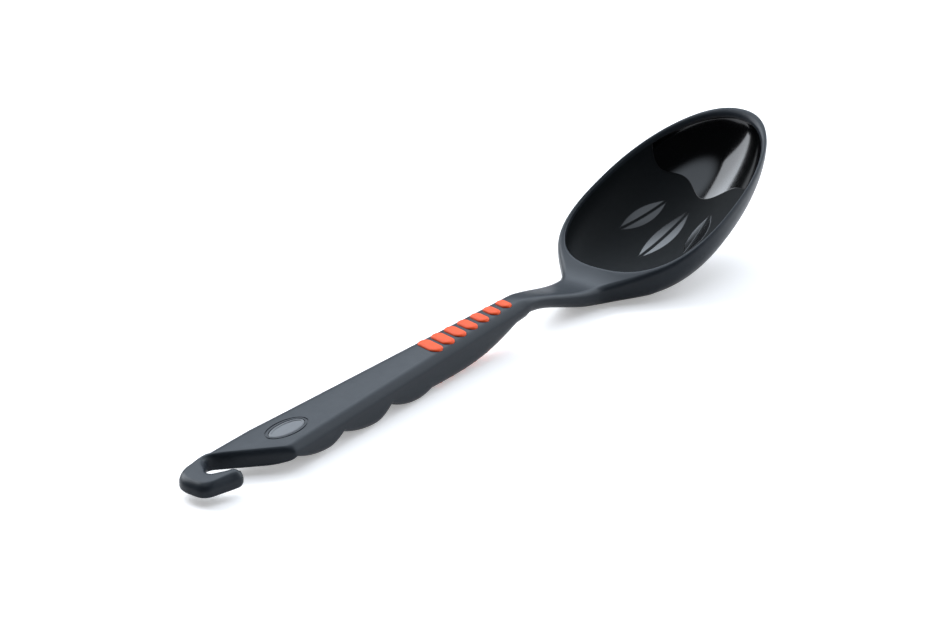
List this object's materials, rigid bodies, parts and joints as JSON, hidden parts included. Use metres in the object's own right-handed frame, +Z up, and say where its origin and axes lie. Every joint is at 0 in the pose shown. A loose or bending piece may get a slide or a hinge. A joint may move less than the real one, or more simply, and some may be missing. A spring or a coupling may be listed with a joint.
{
  "type": "camp spoon",
  "caption": "Long moulded camp spoon: raised egg-shaped bowl, slim neck, finger-scalloped handle with soft grip plugs, an oval badge and a hooked end for hanging or lifting.",
  "frame": {"origin": "centre of the spoon's box in plan, on the floor that it rests on", "axes": "+X from the hook to the bowl tip, +Y to the left, +Z up from the floor"},
  "size_m": [0.255, 0.0484, 0.0374],
  "materials": {
    "body_nylon": "satin",
    "grip_rubber": "matte",
    "badge_grey": "satin"
  },
  "bodies": {
    "root": {"spoon_body": "body_nylon", "grip_pad_1": "grip_rubber", "grip_pad_2": "grip_rubber", "grip_pad_3": "grip_rubber", "grip_pad_4": "grip_rubber", "grip_pad_5": "grip_rubber", "grip_pad_6": "grip_rubber", "grip_pad_7": "grip_rubber", "badge": "badge_grey"}
  },
  "joints": []
}
